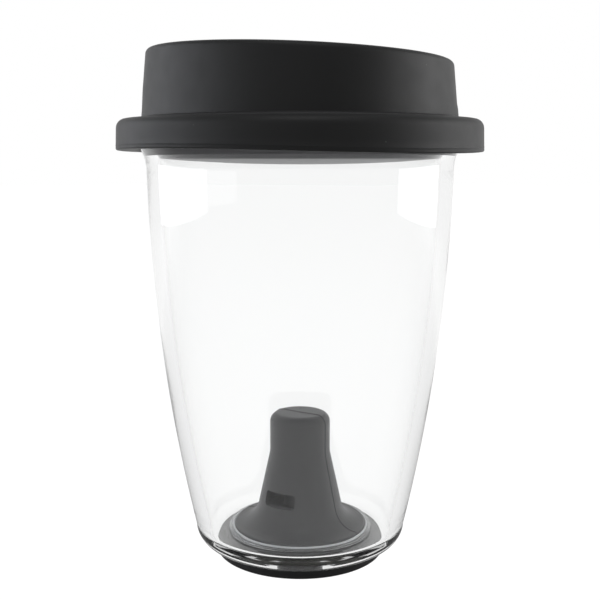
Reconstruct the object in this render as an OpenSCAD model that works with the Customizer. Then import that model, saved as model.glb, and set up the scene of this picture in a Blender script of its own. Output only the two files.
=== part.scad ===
// Lidded glass tumbler with a slotted silicone cone standing on its floor.
// Z is up, the origin is the middle of the foot's underside, and lengths are in millimetres.

/* [Glass] */
// Widest outer radius of the wall
glass_r = 41.2; // [41.1:0.1:41.6]
// Height at which the wall is widest
glass_wide_z = 114.5; // [110:0.5:118]
// Radius of the long arc that the outer wall follows
wall_arc_r = 480; // [440:5:540]
// Thickness of the wall
wall_t = 3.6; // [3:0.1:3.8]
// Height of the rim
rim_z = 116.6; // [116:0.1:116.8]
// Outer radius of the flared lip
lip_r = 42.8; // [42.2:0.1:42.8]
// Height of the glass underside
underside_z = 2.8; // [2.5:0.1:2.9]
// Height of the inner floor
floor_z = 7; // [6.6:0.1:7]
// Radius of the rounded heel
heel_r = 5.7; // [5.2:0.1:5.7]
// Radius of the recess under the floor
punt_r = 16; // [15.8:0.1:17]
// Height of the roof of that recess
punt_z = 3.8; // [3.8:0.1:4.2]
// Radius of the hole that the stem passes through
floor_hole_r = 6.2; // [6.1:0.05:6.3]

/* [Lid] */
// Radius of the flange at its lower edge
flange_r = 49; // [47:0.1:51]
// Radius of the flange below its rounded top edge
flange_top_r = 48.7; // [47.5:0.1:50]
// Height of the flange's lower edge
flange_z = 111.6; // [111:0.1:113]
// Height of the flange's top at its outer edge
flange_top_z = 119.7; // [119.5:0.1:121]
// Rounding of the flange's outer top edge
flange_round = 2.5; // [1:0.1:2.7]
// Radius of the upper ring where it leaves the flange
ring_r = 42.1; // [41.5:0.1:42.6]
// Radius of the upper ring at the height of its highest point
ring_top_r = 40.3; // [39.8:0.1:41.3]
// Height of the slanted rim on the axis
rim_plane_z = 136.4; // [133:0.1:138]
// Slant of the rim, falling towards +X
rim_tilt = 2.3; // [0:0.1:3]
// Depth of the recess inside the rim
recess_depth = 7; // [6.5:0.1:8]
// Thickness of the deck under the recess
deck_t = 3; // [2:0.1:3.5]
// Radius of the recess
recess_r = 36.9; // [36:0.1:37.2]
// Length of the mouth opening across the lid
mouth_w = 20; // [14:0.5:24]
// Width of the mouth opening
mouth_d = 7; // [6:0.5:8]
// Distance of the mouth opening from the axis
mouth_x = 28; // [26:0.5:29]
// Radius of the vent hole opposite the mouth
vent_r = 1.2; // [0.8:0.1:1.6]

/* [Lid insert] */
// Outer radius of the plug where it enters the straight part of the glass
plug_r = 37.4; // [36.5:0.1:37.4]
// Lowest point of the domed underside
dome_z = 108.7; // [108:0.1:109.2]
// How far the dome rises from its middle to its edge
dome_rise = 1.4; // [1:0.1:1.8]
// Height of the insert's floor
insert_floor_z = 111.6; // [111:0.1:112.2]
// Thickness of the insert's wall where it enters the lid
insert_wall = 2.2; // [2:0.1:2.6]

/* [Cone] */
// Height of the cone's flat top
cone_top_z = 39.6; // [38.6:0.1:42]
// Outer radius of the neck
neck_r = 8.4; // [8.2:0.1:8.8]
// Height at which the neck starts to widen
neck_z = 28.6; // [26:0.1:31]
// Rounding of the shoulder at the top
shoulder_round = 2.5; // [1:0.1:3.5]
// How much the radius grows for each millimetre down from the neck
cone_slope = 0.222; // [0.21:0.001:0.23]
// Radius of the concave flare above the flange
flare_r = 6.5; // [6.2:0.1:6.8]
// Outer radius of the cone's flange
cone_flange_r = 18.5; // [18.4:0.1:19.5]
// Thickness of the flange at its edge
cone_flange_t = 0.8; // [0.6:0.05:0.9]
// Width of each slot
slot_w = 9.5; // [8:0.1:10]
// Height of each slot
slot_h = 4; // [3:0.1:4.2]
// Height of the slots' lower edge
slot_z = 15; // [14.6:0.1:15.4]
// Direction of the first slot, turned from the front towards -X
slot_turn = 33; // [0:1:180]

/* [Stem] */
// Outer radius of the tube inside the cone
tube_r = 4.6; // [4.4:0.1:4.8]
// Radius of the bore through the tube
bore_r = 3.2; // [3.1:0.05:3.3]
// Height of the open upper end
tube_top_z = 32.5; // [30:0.1:32.6]
// Radius of the threaded lower length
thread_r = 6; // [5.9:0.05:6]
// Height of the stem's lower end
stem_low_z = 0.6; // [0.5:0.1:0.7]
// Radius of the socket in the lower end
socket_r = 4.2; // [4:0.05:4.3]
// Depth of the socket
socket_depth = 8; // [7:0.1:9]
// Radius of the hub that the cone pushes onto
hub_r = 9.3; // [9.2:0.05:9.35]
// Height of the top of the hub
hub_top_z = 13; // [12.8:0.1:13.2]
// Radius of the O-ring's section
ring_section_r = 0.6; // [0.5:0.05:0.6]

/* [Seals, nut and foot] */
// Thickness of the clear gasket on the floor
gasket_t = 0.6; // [0.5:0.05:0.6]
// Outer radius of the gasket
gasket_r = 20.3; // [19.8:0.1:21]
// Thickness of the washer under the floor
washer_t = 0.8; // [0.6:0.1:0.8]
// Thickness of the hexagonal nut
nut_t = 2.2; // [1.8:0.1:2.2]
// Radius across the nut's corners
nut_r = 11.5; // [10:0.1:12]
// Outer radius of the foot
foot_r = 23.6; // [22:0.1:23.6]
// Radius of the hole through the foot
foot_hole_r = 13.4; // [13:0.1:13.6]
// Rounding of the foot's outer edges
foot_round = 0.6; // [0.3:0.1:0.8]

/* [Hidden] */
$fn = 96;
eps = 0.01; // overlap that joins neighbouring shapes
soft_gap = 0.3; // room between a soft piece and the glass
slip = 0.05; // room between pieces that slide
far = 200; // larger than the whole object

gasket_top = floor_z + gasket_t;
cone_low_z = gasket_top + slip;
washer_low_z = punt_z - washer_t;
nut_low_z = washer_low_z - nut_t;
stem_flange_r = 12.5; // the flange that presses on the gasket
stem_flange_t = 1.4;
stem_flange_top = gasket_top + stem_flange_t;
groove_depth = 0.9; // of the O-ring's groove in the hub
groove_r = hub_r - groove_depth;
groove_z = 11.1; // middle of the groove
groove_play = 0.2; // room beside the O-ring
groove_w = 2 * ring_section_r + groove_play;

heel_centre = [glass_radius(underside_z + heel_r) - heel_r, underside_z + heel_r];
inner_corner_r = 2; // round between the inner floor and the wall
corner_clear = 0.12; // keeps the inside corner's round clear of the leaning wall
flare_start_z = 106.5; // where the lip starts to flare
lip_flare_r = 12; // radius of the flare on the outside
flare_centre = [glass_radius(flare_start_z) + lip_flare_r, flare_start_z];
lip_thinning = 0.2; // how much thinner than the wall the lip is
lip_inner_r = lip_r - wall_t + lip_thinning;
rim_round = 1.4; // of the rim's outer edge
plug_clear = 0.2; // room between the plug's flared side and the lip

groove_top_z = 117; // roof of the groove that takes the glass rim
spigot_r = 36; // radius of the insert's spigot inside the lid
spigot_top_z = 121.3;
insert_mouth_shift = 4; // the insert's mouth lies this much nearer the axis than the lid's
insert_mouth_w = mouth_w - 2; // it's a little shorter and wider than the lid's
insert_mouth_d = mouth_d + 1;
hollow_r = 37.2; // radius of the space between the deck and the insert
ring_low_z = 120.3; // where the ring leaves the flange
ring_high_z = 139; // just above the rim's high side

neck_wall = 2.4; // thickness of the cone's neck
cone_roof_t = 2.2; // thickness of the cone's closed top
base_clear = 0.4; // room between the hub and the cone's base
hub_headroom = 1; // how far the cone's straight bore reaches past the hub
slot_corner_r = 1; // rounding of the slots' corners
washer_margin = 0.7; // how far the washer reaches past the nut
nut_chamfer = 0.5; // on the nut's lower corners
foot_clear = 0.1; // room between the foot and the glass

// Outer radius of the glass at a height, along the wall's long arc
function glass_radius(z) =
    glass_r - wall_arc_r + sqrt(pow(wall_arc_r, 2) - pow(z - glass_wide_z, 2));

// A rectangle from one corner to the other
module area(low, high) {
    translate(low) square(high - low);
}

// A disc of the section, placed at a radius and a height
module disc(centre, r, fn = $fn) {
    translate(centre) circle(r, $fn = fn);
}

// What fills the inside corner between a floor and a wall, up to a round of radius r
module corner_fill(centre, r, right) {
    difference() {
        area([centre[0], centre[1] - r], [right, centre[1]]);
        disc(centre, r);
    }
}

// Everything above or below the plane that the lid's rim is parallel to, at a depth under it
module above_slant(depth) {
    translate([0, 0, rim_plane_z - depth]) rotate([0, rim_tilt, 0])
        translate([-far / 2, -far / 2, 0]) cube([far, far, far / 2]);
}

module below_slant(depth) {
    translate([0, 0, rim_plane_z - depth]) rotate([0, rim_tilt, 0])
        translate([-far / 2, -far / 2, -far]) cube([far, far, far]);
}

// A rounded bar of section w by d, centred on the axis
module oblong(w, d) {
    square([d, w - d], center = true);
    for (side = [-1, 1]) translate([0, side * (w - d) / 2]) circle(d / 2);
}

// The long arc of the wall, moved inwards by a wall's thickness
module wall_disc(inset) {
    disc([glass_r - wall_arc_r, glass_wide_z], wall_arc_r - inset, 360);
}

module glass_outside() {
    intersection() {
        wall_disc(0);
        area([0, heel_centre[1]], [lip_r, rim_z - rim_round]);
    }
    area([0, underside_z], [heel_centre[0], heel_centre[1] + eps]);
    intersection() {
        disc(heel_centre, heel_r);
        area([heel_centre[0] - eps, 0], [lip_r, heel_centre[1] + eps]);
    }
    difference() {
        area([glass_r - wall_t, flare_start_z], [lip_r, rim_z - rim_round]);
        disc(flare_centre, lip_flare_r);
    }
    area([glass_r - wall_t, rim_z - 2 * rim_round], [lip_r - rim_round, rim_z]);
    disc([lip_r - rim_round, rim_z - rim_round], rim_round);
}

// What the flared mouth of the glass holds, kept clear of it by a gap
module flared_mouth(gap, top) {
    difference() {
        area([0, flare_start_z], [lip_inner_r - gap, top]);
        disc(flare_centre, lip_flare_r + wall_t + gap);
    }
}

module glass_inside() {
    corner_z = floor_z + inner_corner_r;
    corner_x = glass_radius(corner_z) - wall_t - inner_corner_r - corner_clear;
    flared_mouth(0, rim_z + 1);
    difference() {
        intersection() {
            wall_disc(wall_t);
            area([0, floor_z], [lip_r, rim_z + 1]);
        }
        corner_fill([corner_x, corner_z], inner_corner_r, glass_radius(floor_z));
    }
}

module glass_cup() {
    color([0.9, 0.95, 0.96, 0.35]) rotate_extrude() difference() {
        intersection() {
            glass_outside();
            area([0, 0], [lip_r, rim_z]);
        }
        glass_inside();
        area([0, 0], [punt_r, punt_z]);
        area([0, 0], [floor_hole_r, floor_z + 1]);
    }
}

module lid_section() {
    corner = [flange_top_r - flange_round, flange_top_z - flange_round];
    polygon([[0, flange_z], [flange_r, flange_z], [flange_top_r, corner[1]], [0, corner[1]]]);
    intersection() {
        disc(corner, flange_round);
        area(corner - [eps, eps], [flange_r, ring_low_z]);
    }
    polygon([[0, corner[1] - eps], [corner[0], corner[1] - eps], [corner[0], flange_top_z],
             [ring_r, ring_low_z], [0, ring_low_z]]);
    polygon([[0, ring_low_z - eps], [ring_r, ring_low_z - eps], [ring_top_r, ring_high_z],
             [0, ring_high_z]]);
}

module lid_shell() {
    color([0.12, 0.12, 0.125]) difference() {
        rotate_extrude() difference() {
            lid_section();
            area([0, 0], [lip_r + soft_gap, groove_top_z]);
            area([0, 0], [spigot_r + slip, spigot_top_z + soft_gap]);
        }
        above_slant(0);
        intersection() {
            translate([0, 0, spigot_top_z]) cylinder(h = far, r = recess_r);
            above_slant(recess_depth);
        }
        intersection() {
            translate([0, 0, spigot_top_z]) cylinder(h = far, r = hollow_r);
            below_slant(recess_depth + deck_t);
        }
        translate([-mouth_x, 0, spigot_top_z]) linear_extrude(far) oblong(mouth_w, mouth_d);
        translate([mouth_x, 0, spigot_top_z]) cylinder(h = far, r = vent_r);
    }
}

module lid_insert() {
    dome_r = (pow(plug_r, 2) + pow(dome_rise, 2)) / (2 * dome_rise);
    color([0.3, 0.3, 0.31]) difference() {
        rotate_extrude() intersection() {
            difference() {
                union() {
                    area([0, 0], [plug_r, groove_top_z]);
                    flared_mouth(plug_clear, groove_top_z);
                    area([0, 0], [spigot_r, spigot_top_z]);
                }
                area([0, insert_floor_z], [spigot_r - insert_wall, spigot_top_z + 1]);
            }
            disc([0, dome_z + dome_r], dome_r, 360);
        }
        translate([insert_mouth_shift - mouth_x, 0, 0]) linear_extrude(far)
            oblong(insert_mouth_w, insert_mouth_d);
    }
}

// The cone's outline below the neck: a straight taper, a concave flare and a thin flange
module cone_outside() {
    flange_top = cone_low_z + cone_flange_t;
    flare_z = flange_top + flare_r;
    lean = sqrt(1 + pow(cone_slope, 2));
    flare_x = neck_r + cone_slope * (neck_z - flare_z) + flare_r * lean;
    meet = [flare_x - flare_r / lean, flare_z - flare_r * cone_slope / lean];
    edge_r = cone_flange_t / 2;

    difference() {
        area([0, cone_low_z], [flare_x, meet[1]]);
        disc([flare_x, flare_z], flare_r);
    }
    area([0, cone_low_z], [cone_flange_r - edge_r, flange_top]);
    disc([cone_flange_r - edge_r, cone_low_z + edge_r], edge_r);
    polygon([[0, meet[1] - eps], [meet[0], meet[1] - eps], [neck_r, neck_z], [0, neck_z]]);
    area([0, neck_z - eps], [neck_r, cone_top_z - shoulder_round]);
    area([0, neck_z], [neck_r - shoulder_round, cone_top_z]);
    disc([neck_r - shoulder_round, cone_top_z - shoulder_round], shoulder_round);
}

module diffuser_cone() {
    base_bore_r = hub_r + base_clear;
    base_bore_z = hub_top_z + hub_headroom;
    neck_bore_r = neck_r - neck_wall;
    straight_w = slot_w - 2 * slot_corner_r;
    straight_h = slot_h - 2 * slot_corner_r;
    color([0.32, 0.32, 0.325]) difference() {
        rotate_extrude() difference() {
            cone_outside();
            area([0, neck_z - eps], [neck_bore_r, cone_top_z - cone_roof_t]);
            polygon([[0, base_bore_z], [base_bore_r, base_bore_z], [neck_bore_r, neck_z], [0, neck_z]]);
            area([0, 0], [base_bore_r, base_bore_z + eps]);
            area([0, 0], [stem_flange_r + base_clear, stem_flange_top + base_clear / 2]);
        }
        rotate([90, 0, -slot_turn]) translate([0, slot_z + slot_h / 2, -far / 2])
            linear_extrude(far) {
                square([slot_w, straight_h], center = true);
                square([straight_w, slot_h], center = true);
                for (x = [-1, 1], y = [-1, 1])
                    translate([x * straight_w / 2, y * straight_h / 2]) circle(slot_corner_r);
            }
    }
}

module stem_tube() {
    color([0.27, 0.27, 0.28]) rotate_extrude() difference() {
        union() {
            area([0, stem_low_z], [thread_r, gasket_top + eps]);
            area([0, gasket_top], [stem_flange_r, stem_flange_top]);
            area([0, gasket_top], [hub_r, hub_top_z]);
            area([0, gasket_top], [tube_r, tube_top_z]);
        }
        area([0, 0], [bore_r, far]);
        area([0, 0], [socket_r, stem_low_z + socket_depth]);
        area([groove_r, groove_z - groove_w / 2], [far, groove_z + groove_w / 2]);
    }
}

module cone_o_ring() {
    color([0.1, 0.1, 0.1]) rotate_extrude()
        disc([groove_r + ring_section_r, groove_z], ring_section_r, 48);
}

module floor_gasket() {
    color([0.86, 0.88, 0.89]) rotate_extrude() difference() {
        area([thread_r + slip, floor_z], [gasket_r - gasket_t / 2, gasket_top]);
        area([0, 0], [thread_r + slip, far]);
    }
    color([0.86, 0.88, 0.89]) rotate_extrude() intersection() {
        disc([gasket_r - gasket_t / 2, floor_z + gasket_t / 2], gasket_t / 2, 48);
        area([gasket_r - gasket_t / 2 - eps, 0], [gasket_r, far]);
    }
}

module under_washer() {
    color([0.55, 0.55, 0.52]) rotate_extrude()
        area([thread_r + slip, washer_low_z], [nut_r + washer_margin, punt_z]);
}

module lock_nut() {
    color([0.24, 0.24, 0.25]) difference() {
        intersection() {
            translate([0, 0, nut_low_z]) linear_extrude(nut_t) circle(nut_r, $fn = 6);
            rotate_extrude() polygon([[0, nut_low_z], [nut_r - 2 * nut_chamfer, nut_low_z],
                [nut_r, nut_low_z + nut_chamfer], [nut_r, washer_low_z], [0, washer_low_z]]);
        }
        cylinder(h = far, r = thread_r + slip, center = true);
    }
}

module base_foot() {
    foot_top = underside_z - foot_clear;
    spigot = punt_r - soft_gap;
    color([0.07, 0.07, 0.075]) rotate_extrude() difference() {
        union() {
            area([0, foot_round], [foot_r, foot_top - foot_round]);
            area([0, 0], [foot_r - foot_round, foot_top]);
            disc([foot_r - foot_round, foot_round], foot_round, 48);
            disc([foot_r - foot_round, foot_top - foot_round], foot_round, 48);
            area([0, 0], [spigot, punt_z - soft_gap]);
        }
        area([0, 0], [foot_hole_r, far]);
    }
}

lid_shell();
lid_insert();
glass_cup();
diffuser_cone();
stem_tube();
cone_o_ring();
floor_gasket();
under_washer();
lock_nut();
base_foot();
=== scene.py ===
import math

import bmesh
import bpy
from mathutils import Matrix, Vector


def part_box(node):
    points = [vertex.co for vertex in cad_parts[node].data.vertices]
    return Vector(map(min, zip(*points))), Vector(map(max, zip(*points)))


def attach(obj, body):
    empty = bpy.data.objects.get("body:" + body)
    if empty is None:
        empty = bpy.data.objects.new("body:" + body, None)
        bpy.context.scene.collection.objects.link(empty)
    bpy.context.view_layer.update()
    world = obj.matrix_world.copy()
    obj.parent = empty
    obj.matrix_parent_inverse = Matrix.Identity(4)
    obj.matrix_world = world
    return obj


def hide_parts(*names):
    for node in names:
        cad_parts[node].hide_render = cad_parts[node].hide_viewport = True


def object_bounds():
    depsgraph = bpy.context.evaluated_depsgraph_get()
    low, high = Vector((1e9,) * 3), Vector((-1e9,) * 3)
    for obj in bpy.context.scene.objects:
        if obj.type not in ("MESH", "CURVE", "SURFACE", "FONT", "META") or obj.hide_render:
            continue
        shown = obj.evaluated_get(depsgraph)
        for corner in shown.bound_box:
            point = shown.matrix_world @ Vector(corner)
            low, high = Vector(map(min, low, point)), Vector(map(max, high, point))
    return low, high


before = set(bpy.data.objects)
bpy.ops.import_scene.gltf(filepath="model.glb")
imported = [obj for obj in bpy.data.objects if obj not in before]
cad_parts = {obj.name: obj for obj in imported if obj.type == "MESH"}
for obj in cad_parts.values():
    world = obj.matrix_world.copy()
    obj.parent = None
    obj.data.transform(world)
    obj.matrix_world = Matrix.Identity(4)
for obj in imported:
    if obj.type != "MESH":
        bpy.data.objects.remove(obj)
cadLow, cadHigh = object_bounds()
mm = 0.001
turn = 2 * math.pi
sharpDeg = 35  # edges that turn more than this stay crisp
clearSharpDeg = 60  # the same for the clear pieces
print("frame loaded:", sorted(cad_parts))


# Outlines: a corner is (radius, height, rounding) in millimetres

def roundCorner(before, corner, after, segments):
    here = Vector(corner[:2])
    back = (Vector(before[:2]) - here).normalized()
    ahead = (Vector(after[:2]) - here).normalized()
    half = back.angle(ahead) / 2
    centre = here + (back + ahead).normalized() * corner[2] / math.sin(half)
    start = here + back * corner[2] / math.tan(half) - centre
    end = here + ahead * corner[2] / math.tan(half) - centre
    startAngle = math.atan2(start.y, start.x)
    sweep = (math.atan2(end.y, end.x) - startAngle + math.pi) % turn - math.pi
    angles = [startAngle + sweep * step / segments for step in range(segments + 1)]
    return [centre + corner[2] * Vector((math.cos(a), math.sin(a))) for a in angles]


def roundedOutline(corners, closed=False, segments=6):
    points = []
    for place, corner in enumerate(corners):
        atEnd = not closed and place in (0, len(corners) - 1)
        if atEnd or corner[2] == 0:
            points.append(Vector(corner[:2]))
        else:
            before = corners[place - 1]
            after = corners[(place + 1) % len(corners)]
            points += roundCorner(before, corner, after, segments)
    return points


def arcPoints(centre, radius, startDeg, endDeg, segments):
    start, sweep = math.radians(startDeg), math.radians(endDeg - startDeg)
    angles = [start + sweep * step / segments for step in range(segments + 1)]
    return [Vector((centre[0] + radius * math.cos(a), centre[1] + radius * math.sin(a))) for a in angles]


def subdividedOutline(points, longest):
    fine = [points[0]]
    for start, end in zip(points, points[1:]):
        cuts = max(1, math.ceil((end - start).length / longest))
        fine += [start.lerp(end, cut / cuts) for cut in range(1, cuts + 1)]
    return fine


# Meshes

def spinOutline(points, steps, closed=False):
    bm = bmesh.new()
    verts = [bm.verts.new((p[0] * mm, 0, p[1] * mm)) for p in points]
    partners = verts[1:] + (verts[:1] if closed else [])
    edges = [bm.edges.new(pair) for pair in zip(verts, partners)]
    bmesh.ops.spin(bm, geom=verts + edges, cent=(0, 0, 0), axis=(0, 0, 1), angle=turn,
                   steps=steps, use_merge=True)
    bmesh.ops.remove_doubles(bm, verts=bm.verts, dist=1e-6)
    return bm


def fillOpenLoops(bm):
    rim = [edge for edge in bm.edges if edge.is_boundary]
    bmesh.ops.edgeloop_fill(bm, edges=rim)


def makePiece(name, bm, crispDeg=sharpDeg):
    bmesh.ops.recalc_face_normals(bm, faces=bm.faces)
    mesh = bpy.data.meshes.new(name)
    bm.to_mesh(mesh)
    bm.free()
    piece = bpy.data.objects.new(name, mesh)
    bpy.context.scene.collection.objects.link(piece)
    shadeByAngle(piece, crispDeg)
    return piece


def shadeByAngle(piece, crispDeg):
    piece.data.shade_smooth()
    piece.data.set_sharp_from_angle(angle=math.radians(crispDeg))


def applyModifiers(piece):
    view = bpy.context.evaluated_depsgraph_get()
    finished = bpy.data.meshes.new_from_object(piece.evaluated_get(view))
    piece.modifiers.clear()
    piece.data = finished


def cutAway(piece, cutter):
    cut = piece.modifiers.new("cut", "BOOLEAN")
    cut.operation = "DIFFERENCE"
    cut.solver = "EXACT"
    cut.object = cutter
    applyModifiers(piece)
    bpy.data.objects.remove(cutter)
    shadeByAngle(piece, sharpDeg)


def bevelRims(piece, width, segments, limitDeg):
    bevel = piece.modifiers.new("rims", "BEVEL")
    bevel.width = width * mm
    bevel.segments = segments
    bevel.limit_method = "ANGLE"
    bevel.angle_limit = math.radians(limitDeg)
    applyModifiers(piece)
    shadeByAngle(piece, sharpDeg)


def finishPiece(piece, body, slot, material, *nodes):
    piece.data.materials.clear()
    piece.data.materials.append(material)
    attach(piece, body)
    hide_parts(*nodes)
    print("piece made:", piece.name, len(piece.data.polygons), "faces")


def oblongCutter(centreX, width, depth, low, high):
    bm = bmesh.new()
    sides = 48
    halfSide = Matrix.Rotation(turn / sides / 2, 3, "Z")  # so that no corner lies between the two ends
    bmesh.ops.create_circle(bm, cap_ends=True, segments=sides, radius=depth / 2 * mm)
    bmesh.ops.rotate(bm, verts=bm.verts, cent=(0, 0, 0), matrix=halfSide)
    for vert in bm.verts:
        vert.co.y += math.copysign((width - depth) / 2 * mm, vert.co.y)
    raiseCaps(bm, low, high)
    bmesh.ops.translate(bm, verts=bm.verts, vec=(centreX * mm, 0, 0))
    return makePiece("oblongCutter", bm)


def raiseCaps(bm, low, high):
    bmesh.ops.translate(bm, verts=bm.verts, vec=(0, 0, low * mm))
    top = bmesh.ops.extrude_face_region(bm, geom=bm.faces[:])["geom"]
    topVerts = [item for item in top if isinstance(item, bmesh.types.BMVert)]
    bmesh.ops.translate(bm, verts=topVerts, vec=(0, 0, (high - low) * mm))


def smoothStep(low, high, value):
    share = min(1, max(0, (value - low) / (high - low)))
    return share * share * (3 - 2 * share)


# Node groups that several materials share

def newGroup(name, inputs, outputs):
    group = bpy.data.node_groups.new(name, "ShaderNodeTree")
    for label, kind, value in inputs:
        socket = group.interface.new_socket(name=label, in_out="INPUT", socket_type=kind)
        if value is not None:
            socket.default_value = value
    for label, kind in outputs:
        group.interface.new_socket(name=label, in_out="OUTPUT", socket_type=kind)
    return group, group.nodes.new("NodeGroupInput"), group.nodes.new("NodeGroupOutput")


def mathNode(tree, operation, first, second=0.5, clamp=False):
    node = tree.nodes.new("ShaderNodeMath")
    node.operation = operation
    node.use_clamp = clamp
    for socket, value in zip(node.inputs, (first, second)):
        if isinstance(value, (int, float)):
            socket.default_value = value
        else:
            tree.links.new(value, socket)
    return node.outputs[0]


def rangeNode(tree, value, fromLow, fromHigh, toLow, toHigh):
    node = tree.nodes.new("ShaderNodeMapRange")
    tree.links.new(value, node.inputs["Value"])
    limits = {"From Min": fromLow, "From Max": fromHigh, "To Min": toLow, "To Max": toHigh}
    for label, number in limits.items():
        if isinstance(number, (int, float)):
            node.inputs[label].default_value = number
        else:
            tree.links.new(number, node.inputs[label])
    return node.outputs["Result"]


def noiseNode(tree, vector, scale, detail=3, rough=0.5):
    node = tree.nodes.new("ShaderNodeTexNoise")
    node.inputs["Detail"].default_value = detail
    node.inputs["Roughness"].default_value = rough
    tree.links.new(vector, node.inputs["Vector"])
    if isinstance(scale, (int, float)):
        node.inputs["Scale"].default_value = scale
    else:
        tree.links.new(scale, node.inputs["Scale"])
    return node.outputs["Fac"]


def mixColour(tree, factor, first, second):
    node = tree.nodes.new("ShaderNodeMix")
    node.data_type = "RGBA"
    for label, value in (("Factor", factor), ("A", first), ("B", second)):
        socket = next(s for s in node.inputs if s.name == label and (label == "Factor" or s.type == "RGBA"))
        if isinstance(value, (int, float, tuple)):
            socket.default_value = value
        else:
            tree.links.new(value, socket)
    return next(s for s in node.outputs if s.type == "RGBA")


skinPlan = {
    "cloudScale": 55.0, "patchScale": 210.0, "grainShare": 0.06,
    "speckScale": 330.0, "speckEdge": (0.03, 0.07), "sparseScale": 140.0, "sparseEdge": (0.6, 0.66),
    "dustColour": (0.42, 0.42, 0.41, 1), "dustRough": 0.3, "roughSpread": 0.12,
    "grainHeight": 0.5, "patchHeight": 0.8, "bumpStrength": 0.35, "sheenRough": 0.45,
}


# Moulded silicone: soft mottling, fine grain, a few pale dust specks, and the height for its bump
def buildSiliconeGroup(plan):
    group, given, made = newGroup(
        "mouldedSilicone",
        [("Vector", "NodeSocketVector", None), ("Color", "NodeSocketColor", (0.05, 0.05, 0.05, 1)),
         ("Mottle", "NodeSocketFloat", 0.2), ("Grain Scale", "NodeSocketFloat", 2600.0),
         ("Dust", "NodeSocketFloat", 0.3), ("Roughness", "NodeSocketFloat", 0.5)],
        [("Color", "NodeSocketColor"), ("Roughness", "NodeSocketFloat"), ("Height", "NodeSocketFloat")])
    where = given.outputs["Vector"]
    cloud = noiseNode(group, where, plan["cloudScale"], 4, 0.6)
    patches = noiseNode(group, where, plan["patchScale"], 3, 0.55)
    grain = noiseNode(group, where, given.outputs["Grain Scale"], 2, 0.6)
    shade = mathNode(group, "SUBTRACT", mathNode(group, "ADD", cloud, patches), 1.0)
    lift = mathNode(group, "ADD", mathNode(group, "MULTIPLY", shade, given.outputs["Mottle"]), 1.0)
    grainLift = mathNode(group, "MULTIPLY", mathNode(group, "SUBTRACT", grain, 0.5), plan["grainShare"])
    lift = mathNode(group, "ADD", lift, grainLift)
    scaled = group.nodes.new("ShaderNodeVectorMath")
    scaled.operation = "SCALE"
    group.links.new(given.outputs["Color"], scaled.inputs[0])
    group.links.new(lift, scaled.inputs["Scale"])

    cells = group.nodes.new("ShaderNodeTexVoronoi")
    cells.inputs["Scale"].default_value = plan["speckScale"]
    group.links.new(where, cells.inputs["Vector"])
    speck = rangeNode(group, cells.outputs["Distance"], *plan["speckEdge"], 1.0, 0.0)
    sparse = rangeNode(group, noiseNode(group, where, plan["sparseScale"], 1), *plan["sparseEdge"], 0.0, 1.0)
    dust = mathNode(group, "MULTIPLY", mathNode(group, "MULTIPLY", speck, sparse), given.outputs["Dust"])
    colour = mixColour(group, dust, scaled.outputs["Vector"], plan["dustColour"])
    uneven = mathNode(group, "MULTIPLY", shade, plan["roughSpread"])
    rough = mathNode(group, "ADD", given.outputs["Roughness"], uneven)
    rough = mathNode(group, "ADD", rough, mathNode(group, "MULTIPLY", dust, plan["dustRough"]), clamp=True)
    grainHeight = mathNode(group, "MULTIPLY", grain, plan["grainHeight"])
    patchHeight = mathNode(group, "MULTIPLY", patches, plan["patchHeight"])
    height = mathNode(group, "ADD", grainHeight, patchHeight)
    group.links.new(colour, made.inputs["Color"])
    group.links.new(rough, made.inputs["Roughness"])
    group.links.new(height, made.inputs["Height"])
    return group


smearPlan = {
    "stretch": (1.0, 1.0, 0.25), "lean": (0.2, 0.1, 0.0), "streakScale": 160.0, "streakEdge": (0.52, 0.75),
    "slowScale": 26.0, "bumpStrength": 0.2,
}


# Thin wipe marks and a slow unevenness, for glass and clear silicone
def buildSmearGroup(plan):
    group, given, made = newGroup(
        "wipeMarks",
        [("Vector", "NodeSocketVector", None), ("Amount", "NodeSocketFloat", 0.02)],
        [("Roughness", "NodeSocketFloat"), ("Height", "NodeSocketFloat")])
    stretch = group.nodes.new("ShaderNodeMapping")
    stretch.inputs["Scale"].default_value = plan["stretch"]
    stretch.inputs["Rotation"].default_value = plan["lean"]
    group.links.new(given.outputs["Vector"], stretch.inputs["Vector"])
    streakNoise = noiseNode(group, stretch.outputs["Vector"], plan["streakScale"], 5, 0.65)
    streaks = rangeNode(group, streakNoise, *plan["streakEdge"], 0.0, 1.0)
    slow = noiseNode(group, given.outputs["Vector"], plan["slowScale"], 1)
    group.links.new(mathNode(group, "MULTIPLY", streaks, given.outputs["Amount"]), made.inputs["Roughness"])
    group.links.new(slow, made.inputs["Height"])
    return group


siliconeGroup = buildSiliconeGroup(skinPlan)
smearGroup = buildSmearGroup(smearPlan)


def newMaterial(name):
    material = bpy.data.materials.new(name)
    material.use_nodes = True
    tree = material.node_tree
    surface = next(n for n in tree.nodes if n.type == "BSDF_PRINCIPLED")
    where = tree.nodes.new("ShaderNodeTexCoord").outputs["Object"]
    return material, tree, surface, where


def addBump(tree, surface, height, strength, distance):
    bump = tree.nodes.new("ShaderNodeBump")
    bump.inputs["Strength"].default_value = strength
    bump.inputs["Distance"].default_value = distance * mm
    tree.links.new(height, bump.inputs["Height"])
    tree.links.new(bump.outputs["Normal"], surface.inputs["Normal"])


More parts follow.
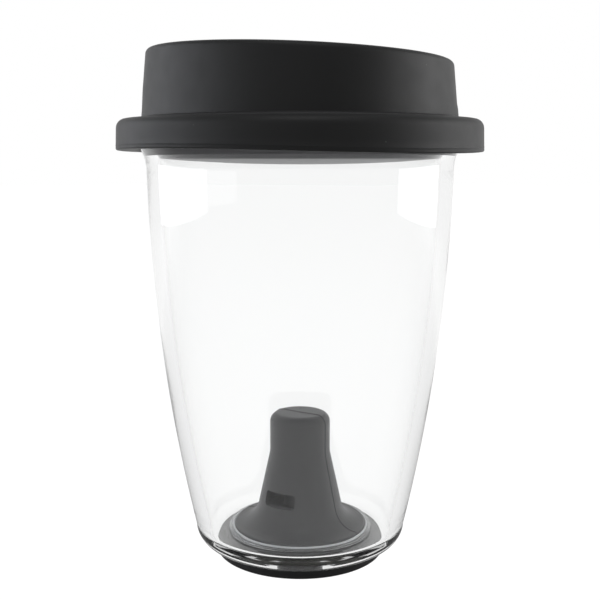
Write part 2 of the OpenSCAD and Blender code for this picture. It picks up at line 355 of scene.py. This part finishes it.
def siliconeMaterial(name, look):
    material, tree, surface, where = newMaterial(name)
    skin = tree.nodes.new("ShaderNodeGroup")
    skin.node_tree = siliconeGroup
    tree.links.new(where, skin.inputs["Vector"])
    skin.inputs["Color"].default_value = (*look["colour"], 1)
    skin.inputs["Mottle"].default_value = look["mottle"]
    skin.inputs["Grain Scale"].default_value = look["grain"]
    skin.inputs["Dust"].default_value = look["dust"]
    skin.inputs["Roughness"].default_value = look["rough"]
    colour = skin.outputs["Color"]
    if "seamTurn" in look:
        colour = paintSeamShadeAndHighlight(tree, where, colour, look)
    tree.links.new(colour, surface.inputs["Base Color"])
    tree.links.new(skin.outputs["Roughness"], surface.inputs["Roughness"])
    surface.inputs["Specular IOR Level"].default_value = look["shine"]
    surface.inputs["Sheen Weight"].default_value = look["sheen"]
    surface.inputs["Sheen Roughness"].default_value = skinPlan["sheenRough"]
    addBump(tree, surface, skin.outputs["Height"], skinPlan["bumpStrength"], look["bump"])
    return material


# A parting line: painted shade darkens both feet of its ridge, and a painted highlight makes the ridge itself
# paler
def paintSeamShadeAndHighlight(tree, where, colour, look):
    across = tree.nodes.new("ShaderNodeVectorMath")
    across.operation = "DOT_PRODUCT"
    across.inputs[1].default_value = (math.cos(look["seamTurn"]), math.sin(look["seamTurn"]), 0)
    tree.links.new(where, across.inputs[0])
    away = mathNode(tree, "ABSOLUTE", across.outputs["Value"])
    foot = mathNode(tree, "ABSOLUTE", mathNode(tree, "SUBTRACT", away, look["seamFoot"] * mm))
    shadeFrom, shadeTo = look["seamShadeEdge"]
    highlightFrom, highlightTo = look["seamHighlightEdge"]
    # painted shade: darker colour along both feet of the seam ridge
    paintedShade = rangeNode(tree, foot, shadeFrom * mm, shadeTo * mm, look["seamDark"], 0.0)
    # painted highlight: paler colour along the top of the seam ridge
    paintedHighlight = rangeNode(tree, away, highlightFrom * mm, highlightTo * mm, look["seamPale"], 0.0)
    dark = mixColour(tree, paintedShade, colour, look["seamShadeColour"])
    return mixColour(tree, paintedHighlight, dark, look["seamHighlightColour"])


def clearMaterial(name, look):
    material, tree, surface, where = newMaterial(name)
    marks = tree.nodes.new("ShaderNodeGroup")
    marks.node_tree = smearGroup
    marks.inputs["Amount"].default_value = look["smear"]
    tree.links.new(where, marks.inputs["Vector"])
    surface.inputs["Base Color"].default_value = (*look["tint"], 1)
    surface.inputs["Transmission Weight"].default_value = look["clarity"]
    surface.inputs["IOR"].default_value = look["ior"]
    rough = mathNode(tree, "ADD", marks.outputs["Roughness"], look["rough"])
    tree.links.new(rough, surface.inputs["Roughness"])
    addBump(tree, surface, marks.outputs["Height"], smearPlan["bumpStrength"], look["wave"])
    lampPath = tree.nodes.new("ShaderNodeLightPath")  # lets lamps reach what stands behind the glass
    through = tree.nodes.new("ShaderNodeBsdfTransparent")
    through.inputs["Color"].default_value = (*look["shadow"], 1)
    either = tree.nodes.new("ShaderNodeMixShader")
    tree.links.new(lampPath.outputs["Is Shadow Ray"], either.inputs["Fac"])
    tree.links.new(surface.outputs["BSDF"], either.inputs[1])
    tree.links.new(through.outputs["BSDF"], either.inputs[2])
    tree.links.new(either.outputs["Shader"], tree.nodes["Material Output"].inputs["Surface"])
    return material


hardPlan = {"fineRatio": 6, "fineEdge": (0.3, 0.7), "smoother": 0.06, "rougher": 0.08, "bumpStrength": 0.3}


def hardMaterial(name, look):
    material, tree, surface, where = newMaterial(name)
    spread = noiseNode(tree, where, look["scale"], 4, 0.6)
    fine = noiseNode(tree, where, look["scale"] * hardPlan["fineRatio"], 2, 0.6)
    colour = mixColour(tree, spread, (*look["dark"], 1), (*look["light"], 1))
    tree.links.new(colour, surface.inputs["Base Color"])
    smooth, coarse = look["rough"] - hardPlan["smoother"], look["rough"] + hardPlan["rougher"]
    rough = rangeNode(tree, fine, *hardPlan["fineEdge"], smooth, coarse)
    tree.links.new(rough, surface.inputs["Roughness"])
    addBump(tree, surface, fine, hardPlan["bumpStrength"], look["bump"])
    return material


# Camera and stage

cameraPlan = {
    "distance": 0.2675,  # from the axis
    "pitchDeg": 8.65,
    "lens": 58.8,
    "sensor": 36,
    "clipStart": 0.01,
}


def buildCamera(plan):
    camera = bpy.data.objects.new("camera", bpy.data.cameras.new("camera"))
    bpy.context.scene.collection.objects.link(camera)
    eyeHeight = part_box("lid_shell")[0].z  # level with the flange's lower edge
    camera.location = (0, -plan["distance"], eyeHeight)
    camera.rotation_euler = (math.radians(90 - plan["pitchDeg"]), 0, 0)
    camera.data.lens = plan["lens"]
    camera.data.sensor_width = plan["sensor"]
    camera.data.clip_start = plan["clipStart"]
    bpy.context.scene.camera = camera


stagePlan = {
    "floorRadius": 3.0,
    "floorColour": (0.12, 0.12, 0.12, 1),
    "floorRough": 0.9,
    "floorSeen": 0.985,  # what the camera and the glass see of the floor and the backdrop
    "backdropSeen": 1.0,
    "afterOne": 0.92,  # the same after one reflection inside the glass, and after two or more
    "afterMore": 0.58,
    "floorGlow": 0.19,  # what lights the object and shows in its gloss
    "floorGloss": 1.0,  # what its gloss shows of the floor behind it
    "glossFrom": (0.03, 0.25),  # distances over which that begins
    "room": 0.15,
    "roomBack": 1.0,  # the same, behind the object
    "roomFrom": (0.3, 0.95),  # how far towards the back it begins and is full
    # thick glass needs many
    "bounces": {"max_bounces": 16, "glossy_bounces": 12, "transmission_bounces": 16},
}


# One strength for what is seen directly or through the glass, and another for what lights the object
def strengthByPath(tree, plan, seen, unseen, gloss):
    path = tree.nodes.new("ShaderNodeLightPath")
    direct = mathNode(tree, "MAXIMUM", path.outputs["Is Camera Ray"], path.outputs["Is Transmission Ray"])
    direct = mathNode(tree, "SUBTRACT", direct, path.outputs["Diffuse Depth"], clamp=True)
    inGlass = rangeNode(tree, path.outputs["Glossy Depth"], 0.0, 1.0, seen, plan["afterOne"])
    inGlass = rangeNode(tree, path.outputs["Glossy Depth"], 1.0, 2.0, inGlass, plan["afterMore"])
    around = rangeNode(tree, path.outputs["Is Glossy Ray"], 0.0, 1.0, unseen, gloss)
    return rangeNode(tree, direct, 0.0, 1.0, around, inGlass)


def buildStage(plan):
    bm = bmesh.new()
    bmesh.ops.create_circle(bm, cap_ends=True, segments=128, radius=plan["floorRadius"])
    bmesh.ops.translate(bm, verts=bm.verts, vec=(0, 0, cadLow.z))
    floor = makePiece("floor", bm)
    material, tree, surface, where = newMaterial("paleFloor")
    surface.inputs["Base Color"].default_value = plan["floorColour"]
    surface.inputs["Roughness"].default_value = plan["floorRough"]
    surface.inputs["Specular IOR Level"].default_value = 0.0
    surface.inputs["Emission Color"].default_value = (1, 1, 1, 1)
    spot = tree.nodes.new("ShaderNodeSeparateXYZ")
    tree.links.new(where, spot.inputs["Vector"])
    gloss = rangeNode(tree, spot.outputs["Y"], *plan["glossFrom"], plan["floorGlow"], plan["floorGloss"])
    glow = strengthByPath(tree, plan, plan["floorSeen"], plan["floorGlow"], gloss)
    tree.links.new(glow, surface.inputs["Emission Strength"])
    floor.data.materials.append(material)

    world = bpy.data.worlds.new("studio")
    bpy.context.scene.world = world
    world.use_nodes = True
    tree = world.node_tree
    tree.nodes.clear()
    direction = tree.nodes.new("ShaderNodeSeparateXYZ")
    tree.links.new(tree.nodes.new("ShaderNodeTexCoord").outputs["Generated"], direction.inputs["Vector"])
    room = rangeNode(tree, direction.outputs["Y"], *plan["roomFrom"], plan["room"], plan["roomBack"])
    strength = strengthByPath(tree, plan, plan["backdropSeen"], room, room)
    background = tree.nodes.new("ShaderNodeBackground")
    background.inputs["Color"].default_value = (1, 1, 1, 1)
    tree.links.new(strength, background.inputs["Strength"])
    output = tree.nodes.new("ShaderNodeOutputWorld")
    tree.links.new(background.outputs["Background"], output.inputs["Surface"])
    bpy.context.scene.view_settings.view_transform = "Standard"
    for label, count in plan["bounces"].items():
        setattr(bpy.context.scene.cycles, label, count)


lampPlan = {
    "leftBox": {"turnDeg": -96, "distance": 0.75, "height": 0.16, "size": (0.8, 0.8), "power": 4.2,
                "colour": (0.93, 0.95, 1.0)},
    "leftSoft": {"turnDeg": -58, "distance": 0.95, "height": 0.16, "size": (0.45, 0.8), "power": 1.15,
                 "colour": (0.95, 0.97, 1.0)},
    "rightBox": {"turnDeg": 96, "distance": 0.75, "height": 0.16, "size": (0.65, 0.8), "power": 4.1,
                 "colour": (1.0, 1.0, 1.0)},
    "topBox": {"turnDeg": 4, "distance": 0.3, "height": 0.78, "size": (0.3, 0.16), "power": 0.8,
               "colour": (1.0, 1.0, 1.0)},
    "frontFill": {"turnDeg": -12, "distance": 1.3, "height": 0.5, "size": (0.8, 0.8), "power": 0.55,
                  "colour": (1.0, 1.0, 1.0)},
}


lampTarget = Vector((0, 0, 0.07))


def buildLamps(plan):
    for name, lamp in plan.items():
        data = bpy.data.lights.new(name, "AREA")
        data.shape = "RECTANGLE"
        data.size, data.size_y = lamp["size"]
        data.energy = lamp["power"]
        data.color = lamp["colour"]
        box = bpy.data.objects.new(name, data)
        bpy.context.scene.collection.objects.link(box)
        angle = math.radians(lamp["turnDeg"])
        away = lamp["distance"]
        box.location = (math.sin(angle) * away, -math.cos(angle) * away, lamp["height"])
        box.rotation_euler = (lampTarget - box.location).to_track_quat("-Z", "Y").to_euler()
        box.visible_camera = False
        box.visible_transmission = False


buildCamera(cameraPlan)
buildStage(stagePlan)
buildLamps(lampPlan)
print("camera, stage and lamps are set")


# Glass cup

glassPlan = {
    "wideRadius": 41.2, "wideHeight": 114.5, "wallArc": 480.0, "wall": 3.6,
    "rim": 116.6, "lipRadius": 42.8, "lipInner": 39.4, "lipStart": 106.5, "lipArc": 12.0,
    "underside": 2.8, "floor": 7.0, "heel": 5.7, "insideCorner": 2.0,
    "puntRadius": 16.0, "puntRoof": 3.8, "holeRadius": 6.2,
    "foldDeg": -12,  # where the heel's arc meets the wall
    "rings": 26, "steps": 256,
}


def wallRadius(plan, height, inset=0.0):
    arc = plan["wallArc"] - inset
    return plan["wideRadius"] - plan["wallArc"] + math.sqrt(arc ** 2 - (height - plan["wideHeight"]) ** 2)


# The lip flares outwards round one centre, so both its sides are arcs about that centre
def flareArc(plan, inset, edgeRadius, segments):
    centre = Vector((wallRadius(plan, plan["lipStart"]) + plan["lipArc"], plan["lipStart"]))
    radius = plan["lipArc"] + inset
    endDeg = 180 - math.degrees(math.acos((centre.x - edgeRadius) / radius))
    return arcPoints(centre, radius, 180, endDeg, segments)


def buildGlass(plan):
    heelHeight = plan["underside"] + plan["heel"]
    heelCentre = (wallRadius(plan, heelHeight) - plan["heel"], heelHeight)
    cornerHeight = plan["floor"] + plan["insideCorner"]
    cornerCentre = (wallRadius(plan, cornerHeight, plan["wall"]) - plan["insideCorner"], cornerHeight)
    rings = plan["rings"]
    outside = arcPoints(heelCentre, plan["heel"], -90, plan["foldDeg"], 10)
    heights = [heelHeight + (plan["lipStart"] - heelHeight) * n / rings for n in range(rings + 1)]
    outside += [Vector((wallRadius(plan, z), z)) for z in heights]
    outside += flareArc(plan, 0, plan["lipRadius"], 7)[1:]
    mouth = flareArc(plan, plan["wall"], plan["lipInner"], 7)[::-1]
    rim = roundedOutline([outside[-1].to_3d(), (plan["lipRadius"], plan["rim"], 1.4),
                          (plan["lipInner"], plan["rim"], 1.4), mouth[0].to_3d()])[1:-1]
    drop = plan["lipStart"] - cornerHeight
    heights = [plan["lipStart"] - drop * n / rings for n in range(1, rings + 1)]
    inside = mouth + [Vector((wallRadius(plan, z, plan["wall"]), z)) for z in heights]
    corner = arcPoints(cornerCentre, plan["insideCorner"], plan["foldDeg"], -90, 8)
    hub = roundedOutline([corner[-1].to_3d(), (plan["holeRadius"], plan["floor"], 0.3),
                          (plan["holeRadius"], plan["puntRoof"], 0.3),
                          (plan["puntRadius"], plan["puntRoof"], 0.6),
                          (plan["puntRadius"], plan["underside"], 0.6), outside[0].to_3d()], segments=4)[1:-1]
    bm = spinOutline(outside + rim + inside + corner + hub, plan["steps"], closed=True)
    return makePiece("glassCup", bm, clearSharpDeg)


clearGlass = clearMaterial("clearGlass", {
    "tint": (0.979, 0.982, 0.981), "clarity": 1.0, "ior": 1.47, "smear": 0.012, "rough": 0.0, "wave": 0.9,
    "shadow": (0.93, 0.94, 0.94)})
finishPiece(buildGlass(glassPlan), "cup", "clear_glass", clearGlass, "glass_cup")


# Lid

lidPlan = {
    "flangeRadius": 48.95, "flangeTopRadius": 48.65,
    "flangeLow": 111.6, "flangeTop": 119.7, "flangeRound": 2.5,
    "ringRadius": 42.1, "ringTopRadius": 40.55, "ringLow": 120.3, "rimHeight": 136.35, "tilt": 2.3,
    "partingHeight": 112.75, "partingBead": 0.07, "crease": 0.45,
    "recessRadius": 36.9, "recessDepth": 7.0, "deck": 3.0, "hollowRadius": 37.2, "spigotRadius": 36.05,
    "skirtRadius": 43.1, "grooveTop": 117.0, "spigotTop": 121.6,
    "wave": 0.6, "mouth": (20.0, 7.0), "mouthX": -28.0, "vent": 2.4, "longest": 1.6, "steps": 256,
}


def buildLid(plan):
    low, top, rim = plan["flangeLow"], plan["flangeTop"], plan["rimHeight"]
    deckTop, deckLow = rim - plan["recessDepth"], rim - plan["recessDepth"] - plan["deck"]
    deckInner = plan["recessRadius"] - 4  # inside this the deck is one flat face
    parting, bead = plan["partingHeight"], plan["partingBead"]
    tiltLow, tiltHigh = plan["spigotTop"] + 0.4, deckLow - 0.6
    corners = [
        (deckInner, deckTop, 0), (plan["recessRadius"], deckTop, 1.4),
        (plan["recessRadius"], rim, 1.5), (plan["ringTopRadius"], rim, 1.5),
        (plan["ringRadius"], plan["ringLow"], plan["crease"]),
        (plan["flangeTopRadius"], top, plan["flangeRound"]),
        (plan["flangeRadius"] - bead, parting + 2 * bead, 0), (plan["flangeRadius"], parting, 0),
        (plan["flangeRadius"] - bead, parting - 2 * bead, 0),
        (plan["flangeRadius"], low, 0.45), (plan["skirtRadius"], low, 0.8),
        (plan["skirtRadius"], plan["grooveTop"], 0.8), (plan["spigotRadius"], plan["grooveTop"], 0.3),
        (plan["spigotRadius"], plan["spigotTop"], 0.2), (plan["hollowRadius"], plan["spigotTop"], 0.2),
        (plan["hollowRadius"], deckLow, 1.2), (deckInner, deckLow, 0)]
    bm = spinOutline(subdividedOutline(roundedOutline(corners), plan["longest"]), plan["steps"])
    fillOpenLoops(bm)
    slope = math.tan(math.radians(plan["tilt"]))
    for vert in bm.verts:
        height = vert.co.z / mm
        angle = math.atan2(vert.co.x, -vert.co.y)
        sag = 1 - smoothStep(low, plan["ringLow"], height)
        vert.co.z -= slope * vert.co.x * smoothStep(tiltLow, tiltHigh, height)
        vert.co.z -= plan["wave"] * mm * math.sin(2 * angle) * sag
    lid = makePiece("lidShell", bm)
    width, depth = plan["mouth"]
    cutTop = rim + 10
    cutAway(lid, oblongCutter(plan["mouthX"], width, depth, plan["spigotTop"], cutTop))
    cutAway(lid, oblongCutter(-plan["mouthX"], plan["vent"], plan["vent"] - 0.01, plan["spigotTop"], cutTop))
    return lid


lidSilicone = siliconeMaterial("lidSilicone", {
    "colour": (0.013, 0.0132, 0.0137), "mottle": 0.22, "grain": 2600.0, "dust": 0.18, "rough": 0.55,
    "shine": 0.42, "sheen": 0.05, "bump": 0.05})
finishPiece(buildLid(lidPlan), "lid", "lid_silicone", lidSilicone, "lid_shell")


# Lid insert

insertPlan = {
    "radius": 37.65, "dome": 108.75, "rise": 1.4, "floor": 111.6, "innerRadius": 33.8,
    "squeeze": 0.04,  # how far the soft side is pressed against the glass
    "shoulder": 116.95, "spigotRadius": 36.0, "top": 121.3, "mouth": (18.0, 8.0), "mouthX": -24.0,
    "domeRings": (2.0, 8.0, 14.0, 20.0, 26.0, 31.0, 34.5), "steps": 256,
}


def buildInsert(plan):
    domeRadius = (plan["radius"] ** 2 + plan["rise"] ** 2) / (2 * plan["rise"])
    edge = plan["dome"] + plan["rise"]

    def domeHeight(radius):
        return plan["dome"] + domeRadius - math.sqrt(domeRadius ** 2 - radius ** 2)

    under = [Vector((r, domeHeight(r))) for r in plan["domeRings"]]
    squeeze = plan["squeeze"]
    mouth = flareArc(glassPlan, glassPlan["wall"] - squeeze, glassPlan["lipInner"] + squeeze, 12)
    side = [(p.x, p.y, 0) for p in mouth if p.y > edge + 1.3]
    rest = roundedOutline([under[-1].to_3d(), (plan["radius"], edge, 1.1), *side,
                           (side[-1][0], plan["shoulder"], 0.4),
                           (plan["spigotRadius"], plan["shoulder"], 0.2),
                           (plan["spigotRadius"], plan["top"], 0.7),
                           (plan["innerRadius"], plan["top"], 0.7), (plan["innerRadius"], plan["floor"], 1.5),
                           (plan["domeRings"][0], plan["floor"], 0)])
    bm = spinOutline(under + rest[1:], plan["steps"])
    fillOpenLoops(bm)
    insert = makePiece("lidInsert", bm)
    width, depth = plan["mouth"]
    cutAway(insert, oblongCutter(plan["mouthX"], width, depth, plan["dome"] - 3, plan["floor"] + 2))
    return insert


insertSilicone = siliconeMaterial("insertSilicone", {
    "colour": (0.148, 0.148, 0.157), "mottle": 0.18, "grain": 2400.0, "dust": 0.1, "rough": 0.42,
    "shine": 0.5, "sheen": 0.05, "bump": 0.03})
finishPiece(buildInsert(insertPlan), "lid", "insert_silicone", insertSilicone, "lid_insert")


# Diffuser cone

conePlan = {
    "top": 39.6, "shoulder": 2.5, "neckRadius": 8.4, "neckHeight": 28.6, "slope": 0.222,
    "flangeRadius": 18.45, "flangeTop": 8.45, "low": 7.65, "flare": 6.5,
    "roof": 2.2, "neckBore": 6.0, "baseBore": 9.7, "boreTop": 14.0, "recessRadius": 12.9, "recessTop": 9.2,
    "slot": (9.5, 4.0), "slotRound": 1.0, "slotMiddle": 17.0, "slotTurn": -33.0,
    "neckBlend": 9.0, "blendDrop": 8,  # the soft bend where the neck meets the taper
    "seamTurn": 57.0, "seamWidth": 0.3, "seamHeight": 0.14, "longest": 0.9, "steps": 256,
}


def buildCone(plan):
    flareHeight = plan["flangeTop"] + plan["flare"]
    lean = math.hypot(1, plan["slope"])
    flareX = plan["neckRadius"] + plan["slope"] * (plan["neckHeight"] - flareHeight) + plan["flare"] * lean
    meetDeg = 180 + math.degrees(math.atan(plan["slope"]))
    drop = plan["blendDrop"]
    crown = roundedOutline([(0, plan["top"], 0), (plan["neckRadius"], plan["top"], plan["shoulder"]),
                            (plan["neckRadius"], plan["neckHeight"], plan["neckBlend"]),
                            (plan["neckRadius"] + plan["slope"] * drop, plan["neckHeight"] - drop, 0)],
                           segments=9)
    flare = arcPoints((flareX, flareHeight), plan["flare"], meetDeg, 270, 12)
    hem = roundedOutline([flare[-1].to_3d(), (plan["flangeRadius"], plan["flangeTop"], 0.35),
                          (plan["flangeRadius"], plan["low"], 0.35),
                          (plan["recessRadius"], plan["low"], 0.25),
                          (plan["recessRadius"], plan["recessTop"], 0.3),
                          (plan["baseBore"], plan["recessTop"], 0.3),
                          (plan["baseBore"], plan["boreTop"], 1.0),
                          (plan["neckBore"], plan["neckHeight"], 2.0),
                          (plan["neckBore"], plan["top"] - plan["roof"], 1.0),
                          (0, plan["top"] - plan["roof"], 0)], segments=3)
    bm = spinOutline(subdividedOutline(crown + flare + hem[1:], plan["longest"]), plan["steps"])
    raiseSeam(bm, plan)
    cone = makePiece("diffuserCone", bm)
    cutAway(cone, slotCutter(plan))
    return cone


# The parting line is a low ridge that runs over the top and down both sides, in one plane
def raiseSeam(bm, plan):
    angle = math.radians(plan["seamTurn"])
    across = Vector((math.cos(angle), math.sin(angle), 0))
    for share in (-1, -0.5, 0, 0.5, 1):
        bmesh.ops.bisect_plane(bm, geom=bm.verts[:] + bm.edges[:] + bm.faces[:], dist=1e-6,
                               plane_co=across * share * plan["seamWidth"] * mm, plane_no=across)
    bmesh.ops.recalc_face_normals(bm, faces=bm.faces)
    bm.normal_update()
    for vert in bm.verts:
        share = min(1, abs(vert.co.dot(across)) / mm / plan["seamWidth"])
        facesAxis = vert.co.xy.dot(vert.normal.xy) < -1e-6
        if vert.normal.z > -0.3 and not facesAxis:
            vert.co += vert.normal * plan["seamHeight"] * mm * (1 - share)


def slotCutter(plan):
    bm = bmesh.new()
    width, height = plan["slot"]
    length = 60  # long enough to cut both sides of the cone
    bmesh.ops.create_cube(bm, size=1)
    bmesh.ops.scale(bm, verts=bm.verts, vec=(width * mm, length * mm, height * mm))
    alongEdges = [e for e in bm.edges if abs((e.verts[0].co - e.verts[1].co).y) > length / 2 * mm]
    bmesh.ops.bevel(bm, geom=alongEdges, offset=plan["slotRound"] * mm, affect="EDGES", segments=5,
                    profile=0.5, material=-1)
    bmesh.ops.rotate(bm, verts=bm.verts, cent=(0, 0, 0),
                     matrix=Matrix.Rotation(math.radians(plan["slotTurn"]), 3, "Z"))
    bmesh.ops.translate(bm, verts=bm.verts, vec=(0, 0, plan["slotMiddle"] * mm))
    return makePiece("slotCutter", bm)


coneSilicone = siliconeMaterial("coneSilicone", {
    "colour": (0.081, 0.081, 0.083), "mottle": 0.3, "grain": 2600.0, "dust": 0.25, "rough": 0.46,
    "shine": 0.42, "sheen": 0.04, "bump": 0.005,
    # the seam colours are painted shade at the ridge's feet and a painted highlight on its top
    "seamTurn": math.radians(conePlan["seamTurn"]), "seamFoot": 0.28, "seamDark": 0.85,
    "seamShadeEdge": (0.08, 0.2), "seamShadeColour": (0.008, 0.008, 0.009, 1),
    "seamPale": 0.25, "seamHighlightEdge": (0.03, 0.13), "seamHighlightColour": (0.2, 0.2, 0.2, 1)})
finishPiece(buildCone(conePlan), "cone", "cone_silicone", coneSilicone, "diffuser_cone")


# Stem, its ring and the seals under it

stemPlan = {
    "low": 0.65, "thread": 6.0, "flangeRadius": 12.5, "flangeLow": 7.6, "flangeTop": 9.0,
    "hub": 9.3, "hubTop": 13.0,
    "groove": 8.4, "grooveHeight": 11.1, "grooveHalf": 0.7, "tube": 4.6, "tubeTop": 32.45, "bore": 3.2,
    "socket": 4.2, "socketTop": 8.6, "steps": 128,
}


def buildStem(plan):
    low, high = plan["grooveHeight"] - plan["grooveHalf"], plan["grooveHeight"] + plan["grooveHalf"]
    corners = [
        (plan["socket"], plan["low"], 0.3), (plan["thread"], plan["low"], 0.35),
        (plan["thread"], plan["flangeLow"], 0.1),
        (plan["flangeRadius"], plan["flangeLow"], 0.3), (plan["flangeRadius"], plan["flangeTop"], 0.4),
        (plan["hub"], plan["flangeTop"], 0.3), (plan["hub"], low, 0.15), (plan["groove"], low, 0.15),
        (plan["groove"], high, 0.15), (plan["hub"], high, 0.15), (plan["hub"], plan["hubTop"], 0.5),
        (plan["tube"], plan["hubTop"], 0.6), (plan["tube"], plan["tubeTop"], 0.5),
        (plan["bore"], plan["tubeTop"], 0.4),
        (plan["bore"], plan["socketTop"], 0.2), (plan["socket"], plan["socketTop"], 0.2)]
    bm = spinOutline(roundedOutline(corners, closed=True, segments=4), plan["steps"], closed=True)
    return makePiece("stemTube", bm)


stemPlastic = hardMaterial("stemPlastic", {
    "dark": (0.06, 0.06, 0.063), "light": (0.085, 0.085, 0.088), "scale": 300.0, "rough": 0.38, "bump": 0.03})
finishPiece(buildStem(stemPlan), "cup", "stem_plastic", stemPlastic, "stem_tube")


def buildRing(name, plan):
    around = arcPoints(plan["centre"], plan["radius"], 0, 360, plan["sides"])[:-1]
    return makePiece(name, spinOutline(around, plan["steps"], closed=True))


ringRubber = siliconeMaterial("ringRubber", {
    "colour": (0.02, 0.02, 0.02), "mottle": 0.1, "grain": 3000.0, "dust": 0.1, "rough": 0.4, "shine": 0.5,
    "sheen": 0.0, "bump": 0.02})
ringPlan = {"centre": (9.0, 11.1), "radius": 0.6, "sides": 24, "steps": 128}
finishPiece(buildRing("coneRing", ringPlan), "cup", "o_ring_rubber", ringRubber, "cone_o_ring")

gasketPlan = {"inner": 6.1, "outer": 20.3, "low": 7.02, "top": 7.6, "edge": 0.28, "steps": 256}


def buildGasket(plan):
    corners = [(plan["inner"], plan["low"], 0), (plan["outer"], plan["low"], plan["edge"]),
               (plan["outer"], plan["top"], plan["edge"]), (plan["inner"], plan["top"], 0)]
    outline = roundedOutline(corners, closed=True)
    return makePiece("floorGasket", spinOutline(outline, plan["steps"], closed=True), clearSharpDeg)


clearSilicone = clearMaterial("clearSilicone", {
    "tint": (0.97, 0.975, 0.98), "clarity": 0.92, "ior": 1.41, "smear": 0.03, "rough": 0.03, "wave": 0.3,
    "shadow": (0.85, 0.86, 0.87)})
finishPiece(buildGasket(gasketPlan), "cup", "gasket_silicone", clearSilicone, "floor_gasket")

# The gasket's raised lip, close to the cone's flange; its near-white colour is a painted highlight
lipPlan = {"centre": (18.9, 7.78), "radius": 0.3, "sides": 24, "steps": 256}
lipPaintedHighlight = siliconeMaterial("lipPaintedHighlight", {
    # near-white colour: painted highlight along the lip
    "colour": (0.92, 0.93, 0.95), "mottle": 0.05, "grain": 2600.0, "dust": 0.0, "rough": 0.2, "shine": 0.6,
    "sheen": 0.0, "bump": 0.01})
finishPiece(buildRing("gasketLip", lipPlan), "cup", "gasket_silicone", lipPaintedHighlight, "floor_gasket")

# The washer's top is pressed against the glass
washerPlan = {"inner": 6.1, "outer": 12.2, "low": 3.02, "top": 3.82, "steps": 128}


def buildWasher(plan):
    corners = [(plan["inner"], plan["low"], 0.1), (plan["outer"], plan["low"], 0.15),
               (plan["outer"], plan["top"], 0.15), (plan["inner"], plan["top"], 0.1)]
    outline = roundedOutline(corners, closed=True, segments=3)
    return makePiece("underWasher", spinOutline(outline, plan["steps"], closed=True))


washerFibre = hardMaterial("washerFibre", {
    "dark": (0.22, 0.21, 0.19), "light": (0.38, 0.37, 0.34), "scale": 900.0, "rough": 0.75, "bump": 0.08})
finishPiece(buildWasher(washerPlan), "cup", "washer_fibre", washerFibre, "under_washer")

nutPlan = {
    "corner": 11.45, "bore": 6.08, "low": 0.82, "top": 2.98, "chamferFrom": 9.6, "chamferSlope": 0.45,
    "rim": 0.12, "rimSegments": 2, "rimDeg": 50, "sides": 6, "cuts": 7,
}


def buildNut(plan):
    bm = bmesh.new()
    bmesh.ops.create_circle(bm, cap_ends=False, segments=plan["sides"], radius=plan["corner"] * mm)
    bmesh.ops.subdivide_edges(bm, edges=bm.edges[:], cuts=plan["cuts"])
    count = plan["sides"] * (plan["cuts"] + 1)
    bmesh.ops.create_circle(bm, cap_ends=False, segments=count, radius=plan["bore"] * mm)
    bmesh.ops.bridge_loops(bm, edges=bm.edges[:])
    raiseCaps(bm, plan["low"], plan["top"])
    for vert in bm.verts:
        beyond = vert.co.xy.length / mm - plan["chamferFrom"]
        if vert.co.z < plan["low"] * mm + 1e-6 and beyond > 0:
            vert.co.z += beyond * plan["chamferSlope"] * mm
    nut = makePiece("lockNut", bm)
    bevelRims(nut, plan["rim"], plan["rimSegments"], plan["rimDeg"])
    return nut


nutPlastic = hardMaterial("nutPlastic", {
    "dark": (0.045, 0.045, 0.047), "light": (0.065, 0.065, 0.068), "scale": 320.0, "rough": 0.42,
    "bump": 0.03})
finishPiece(buildNut(nutPlan), "cup", "nut_plastic", nutPlastic, "lock_nut")


# Foot

footPlan = {
    "outer": 23.55, "hole": 13.45, "top": 2.68, "spigot": 15.7, "spigotTop": 3.45,
    "grooves": (15.8, 17.6, 19.4, 21.2),
    "grooveHalf": 0.32, "grooveDepth": 0.3, "steps": 256,
}


def buildFoot(plan):
    half, depth = plan["grooveHalf"], plan["grooveDepth"]
    flat = half * 0.6  # half the width of a groove's floor
    treads = []
    for middle in plan["grooves"]:
        treads += [(middle - half, 0, 0.1), (middle - flat, depth, 0.05), (middle + flat, depth, 0.05),
                   (middle + half, 0, 0.1)]
    corners = [(plan["hole"], 0, 0.3)] + treads + [
        (plan["outer"], 0, 0.5), (plan["outer"], plan["top"], 0.5), (plan["spigot"], plan["top"], 0.1),
        (plan["spigot"], plan["spigotTop"], 0.3), (plan["hole"], plan["spigotTop"], 0.3)]
    bm = spinOutline(roundedOutline(corners, closed=True, segments=4), plan["steps"], closed=True)
    return makePiece("baseFoot", bm)


footSilicone = siliconeMaterial("footSilicone", {
    "colour": (0.009, 0.009, 0.0095), "mottle": 0.25, "grain": 2600.0, "dust": 0.25, "rough": 0.5,
    "shine": 0.4, "sheen": 0.02, "bump": 0.04})
finishPiece(buildFoot(footPlan), "foot", "foot_silicone", footSilicone, "base_foot")
